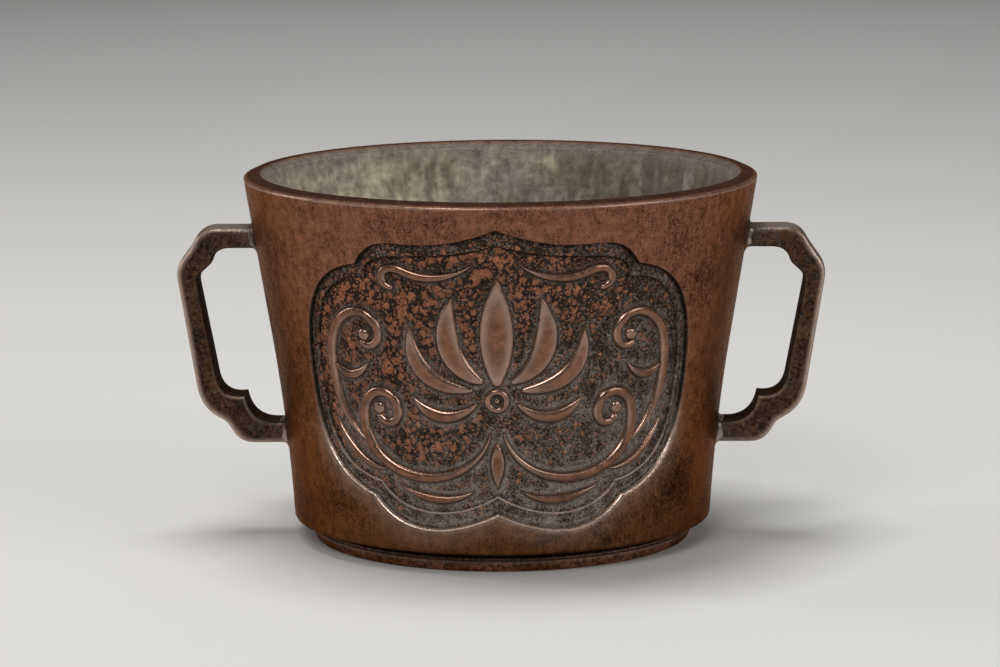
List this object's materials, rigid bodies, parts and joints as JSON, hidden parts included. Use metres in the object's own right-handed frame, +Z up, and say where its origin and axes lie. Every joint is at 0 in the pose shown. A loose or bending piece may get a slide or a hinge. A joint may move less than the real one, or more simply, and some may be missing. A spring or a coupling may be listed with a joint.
{
  "type": "two handled bronze censer",
  "caption": "Tapered round bronze censer with a lobed relief cartouche, angular strap handles, a low foot ring and an open bowl.",
  "frame": {"origin": "on the table under the vessel's axis, the middle of the foot ring's underside", "axes": "+Z up, +X through the right handle, and -Y out of the front cartouche"},
  "size_m": [0.1594, 0.126, 0.0905],
  "materials": {
    "wall_bronze": "rubbed reddish brown patina with dark speckle, a blackened speckled ground in the cartouches and an olive grey bore",
    "floor_bronze": "dull olive grey patina",
    "foot_bronze": "dark brown speckled patina",
    "handle_bronze": "dark mottled patina, rubbed pale along the edges",
    "root_solder": "dull grey solder"
  },
  "bodies": {
    "root": {"vessel_wall": "wall_bronze", "floor_plate": "floor_bronze", "foot_ring": "foot_bronze", "left_handle": "handle_bronze", "right_handle": "handle_bronze", "left_upper_solder": "root_solder", "left_lower_solder": "root_solder", "right_upper_solder": "root_solder", "right_lower_solder": "root_solder"}
  },
  "joints": []
}
